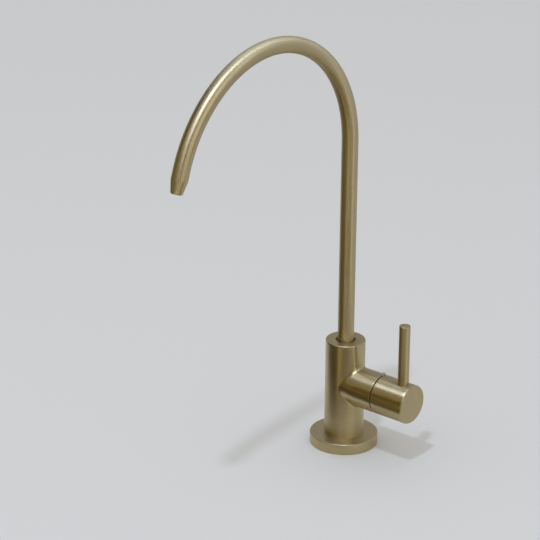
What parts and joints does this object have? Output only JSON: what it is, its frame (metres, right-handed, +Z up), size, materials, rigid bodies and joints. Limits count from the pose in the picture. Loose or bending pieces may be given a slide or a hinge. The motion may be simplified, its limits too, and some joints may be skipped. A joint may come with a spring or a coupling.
{
  "type": "drinking water filter tap",
  "caption": "Deck-mounted filter water tap with a slim swivelling gooseneck spout, a round base flange and a quarter-turn side valve worked by a pin lever.",
  "frame": {"origin": "centre of the base flange's underside, on the deck surface and on the axis of the shank", "axes": "+Z up along the body and the spout's swivel axis, -Y towards the user with the spout pointing that way, +X along the valve and the handle"},
  "size_m": [0.0732, 0.1806, 0.346],
  "materials": {
    "brushed_brass": "brushed satin, warm olive brass",
    "turned_brass": "turned, unplated",
    "black_plastic": "moulded acetal, matt",
    "grey_plastic": "moulded acetal, satin",
    "rubber": "moulded, matt",
    "ceramic": "lapped",
    "steel": "stainless, plain"
  },
  "bodies": {
    "tap": {"tap_body": "brushed_brass", "base_flange": "brushed_brass", "base_seal": "rubber", "threaded_shank": "turned_brass", "shank_o_ring": "rubber", "spout_guide_ring": "black_plastic", "spout_grub_screw": "steel", "seat_seal": "rubber", "fixed_disc": "ceramic", "cartridge_housing": "turned_brass", "housing_o_ring": "rubber", "slip_washer": "black_plastic", "gland_nut": "turned_brass", "glide_ring": "grey_plastic", "inlet_o_ring": "rubber", "inlet_spacer": "black_plastic", "inlet_retainer": "turned_brass"},
    "spout": {"spout_tube": "brushed_brass", "flow_straightener": "grey_plastic", "spout_ferrule": "turned_brass", "spout_o_rings": "rubber"},
    "handle": {"handle_barrel": "brushed_brass", "handle_grub_screw": "steel", "lever_pin": "brushed_brass", "valve_spindle": "turned_brass", "spindle_o_ring": "rubber", "moving_disc": "ceramic"},
    "clamp": {"rubber_washer": "rubber", "steel_washer": "steel", "lock_nut": "turned_brass"},
    "collet": {"inlet_collet": "grey_plastic", "collet_teeth": "steel"}
  },
  "joints": [
    {"name": "spout_swivel", "type": "hinge", "parent": "tap", "child": "spout", "pos_m": [0, 0, 0.069], "axis": [0, 0, 1], "continuous": true},
    {"name": "handle_turn", "type": "hinge", "parent": "tap", "child": "handle", "pos_m": [0, 0, 0.0405], "axis": [1, 0, 0], "range_deg": [0, 90]},
    {"name": "clamp_slide", "type": "slide", "parent": "tap", "child": "clamp", "axis": [0, 0, -1], "range_m": [-0.016, 0.045]},
    {"name": "collet_press", "type": "slide", "parent": "tap", "child": "collet", "axis": [0, 0, 1], "range_m": [0, 0.0015]}
  ]
}
